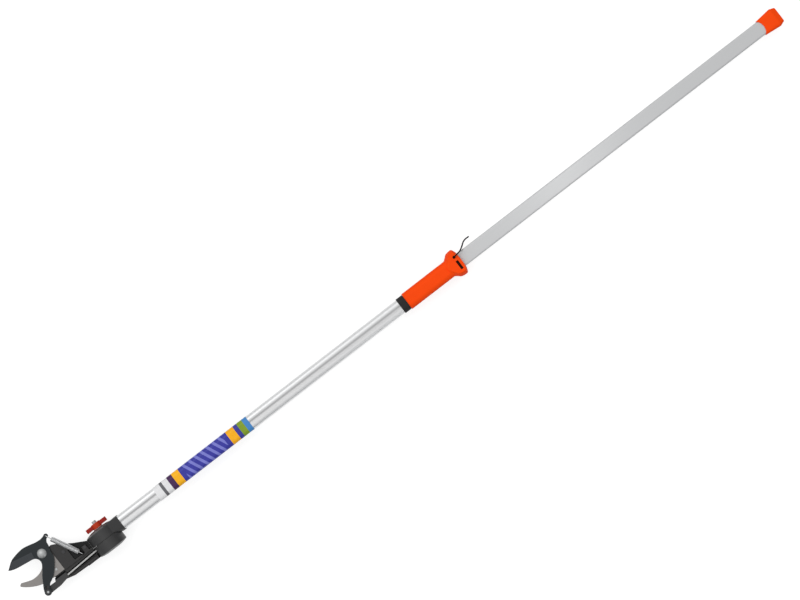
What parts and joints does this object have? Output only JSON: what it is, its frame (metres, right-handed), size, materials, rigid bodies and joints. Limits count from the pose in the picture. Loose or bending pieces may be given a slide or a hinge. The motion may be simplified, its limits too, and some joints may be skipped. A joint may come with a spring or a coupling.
{
  "type": "tree pruner pole",
  "caption": "Long metal pole with a sliding orange pull grip, an end cap and a swivelling bypass cutting head that a rope inside the pole closes and a spring opens.",
  "frame": {"origin": "centre of the flat butt face of the end cap", "axes": "+X along the pole towards the blades, Z square to the flat of the cutting head, with the moving blade on the +Z side of the fixed blade, -Y towards the wing nut"},
  "size_m": [1.6, 0.095, 0.056],
  "materials": {
    "bright_tube": "bright drawn, grooved",
    "satin_tube": "satin anodised",
    "orange_plastic": "smooth moulded",
    "red_plastic": "smooth moulded",
    "black_plastic": "fine moulded grain",
    "grey_plastic": "moulded",
    "printed_film": "glossy film, banded",
    "black_rope": "braided",
    "grey_cord": "braided",
    "plated_steel": "zinc plated",
    "dark_screws": "blackened",
    "wheel_brass": "turned",
    "head_black": "black painted sheet",
    "blade_black": "non-stick coated",
    "blade_grey": "ground",
    "spring_steel": "bright wire"
  },
  "bodies": {
    "pole": {"head_tube": "bright_tube", "handle_tube": "satin_tube", "tube_connector": "grey_plastic", "connector_screws": "dark_screws", "collar": "black_plastic", "end_cap": "orange_plastic", "cap_screw": "dark_screws", "label_sleeve": "printed_film", "return_rope": "black_rope", "swivel_socket": "black_plastic", "socket_rivets": "plated_steel", "swivel_bolt": "plated_steel", "swivel_washer": "plated_steel", "upper_sheave_pin": "plated_steel", "upper_cord_turn": "grey_cord"},
    "wing": {"wing_nut": "red_plastic"},
    "grip": {"grip_sleeve": "orange_plastic", "grip_bush_front": "grey_plastic", "grip_bush_rear": "grey_plastic", "pull_rope": "black_rope", "cord_tail": "black_rope"},
    "tackle": {"tackle_block": "plated_steel", "tackle_sheave_pin": "plated_steel", "tube_cord": "grey_cord"},
    "tackle_wheel": {"tackle_sheave": "wheel_brass"},
    "upper_wheel": {"upper_sheave": "wheel_brass"},
    "lower_wheel": {"lower_sheave": "wheel_brass"},
    "head": {"swivel_base": "black_plastic", "lower_sheave_pin": "plated_steel", "lower_cord_turn": "grey_cord", "head_back_plate": "head_black", "neck_screws": "dark_screws", "head_cover": "head_black", "cover_screws": "dark_screws", "fixed_blade": "blade_grey", "blade_rivets": "plated_steel", "pivot_bolt": "plated_steel", "pivot_washer": "plated_steel", "pivot_nut": "plated_steel", "return_spring": "spring_steel"},
    "blade": {"cutting_blade": "blade_black", "pivot_bush": "wheel_brass"},
    "link": {"pull_link": "black_plastic", "link_pin": "plated_steel", "link_washer": "dark_screws", "pull_cord": "grey_cord"}
  },
  "joints": [
    {"name": "grip_slide", "type": "slide", "parent": "pole", "child": "grip", "axis": [-1, 0, 0], "range_m": [0, 0.09]},
    {"name": "head_swivel", "type": "hinge", "parent": "pole", "child": "head", "pos_m": [1.436, 0, 0], "axis": [0, 1, 0], "range_deg": [-100, 100]},
    {"name": "wing_nut_turn", "type": "hinge", "parent": "pole", "child": "wing", "pos_m": [1.436, 0, 0], "axis": [0, 1, 0], "continuous": true},
    {"name": "tackle_slide", "type": "slide", "parent": "pole", "child": "tackle", "axis": [-1, 0, 0], "range_m": [0, 0.045]},
    {"name": "tackle_sheave_spin", "type": "hinge", "parent": "tackle", "child": "tackle_wheel", "pos_m": [1.1, -0.005, 0], "axis": [0, 1, 0], "range_deg": [-290, 0]},
    {"name": "upper_sheave_spin", "type": "hinge", "parent": "pole", "child": "upper_wheel", "pos_m": [1.432, -0.0038, 0], "axis": [0, 0, 1], "range_deg": [-645, 0]},
    {"name": "lower_sheave_spin", "type": "hinge", "parent": "head", "child": "lower_wheel", "pos_m": [1.44, 0.0072, 0], "axis": [0, 0, 1], "range_deg": [0, 645]},
    {"name": "link_slide", "type": "slide", "parent": "head", "child": "link", "axis": [-1, 0, 0], "range_m": [0, 0.045], "deforming": ["pull_cord"]},
    {"name": "blade_pivot", "type": "hinge", "parent": "head", "child": "blade", "pos_m": [1.537, -0.0398, 0], "axis": [0, 0, 1], "range_deg": [0, 41.8], "stiffness_Nm_per_rad": 1, "springref_deg": -22.92, "deforming": ["return_spring"]}
  ],
  "couplings": [
    {"joint": "tackle_slide", "follows": "grip_slide", "ratio": 0.5},
    {"joint": "link_slide", "follows": "grip_slide", "ratio": 0.5},
    {"joint": "blade_pivot", "follows": "grip_slide", "rad_per_m": 8.0867},
    {"joint": "tackle_sheave_spin", "follows": "grip_slide", "rad_per_m": -56.18},
    {"joint": "upper_sheave_spin", "follows": "grip_slide", "rad_per_m": -125},
    {"joint": "lower_sheave_spin", "follows": "grip_slide", "rad_per_m": 125}
  ]
}
